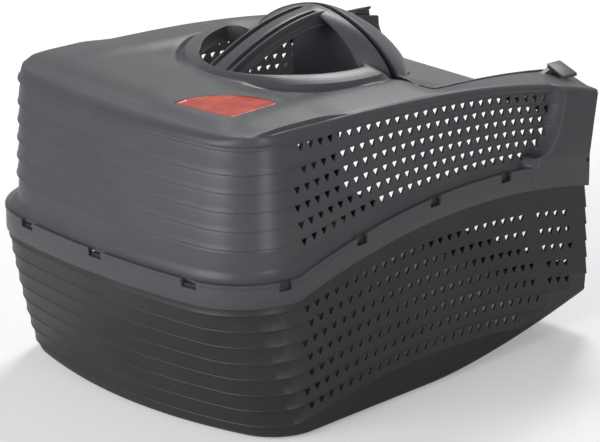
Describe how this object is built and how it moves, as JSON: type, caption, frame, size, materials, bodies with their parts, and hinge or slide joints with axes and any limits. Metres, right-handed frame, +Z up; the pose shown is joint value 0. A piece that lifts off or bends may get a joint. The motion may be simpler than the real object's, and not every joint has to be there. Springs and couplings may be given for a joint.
{
  "type": "lawn mower grass box",
  "caption": "Rigid perforated grass box with stepped walls, an upswept joint, a ring with hoop and hand strip, a humped front cover, hooks and a level indicator.",
  "frame": {"origin": "centre of the bounding box at the ground, under the middle of the box", "axes": "+X from the rear wall to the mouth that meets the mower, +Y to the left, +Z up"},
  "size_m": [0.6059, 0.4462, 0.4027],
  "materials": {
    "upper_plastic": "fine moulded grain, mid grey",
    "lower_plastic": "fine moulded grain, near black",
    "cover_plastic": "smooth satin, mid grey",
    "indicator_plastic": "satin red"
  },
  "bodies": {
    "box": {"upper_shell": "upper_plastic", "lower_shell": "lower_plastic", "front_cover": "cover_plastic"},
    "indicator": {"level_indicator": "indicator_plastic"}
  },
  "joints": [
    {"name": "indicator_tilt", "type": "hinge", "parent": "box", "child": "indicator", "pos_m": [-0.18677, -0.08977, 0.3579], "axis": [0.7071, -0.7071, 0], "range_deg": [0, 25]}
  ]
}
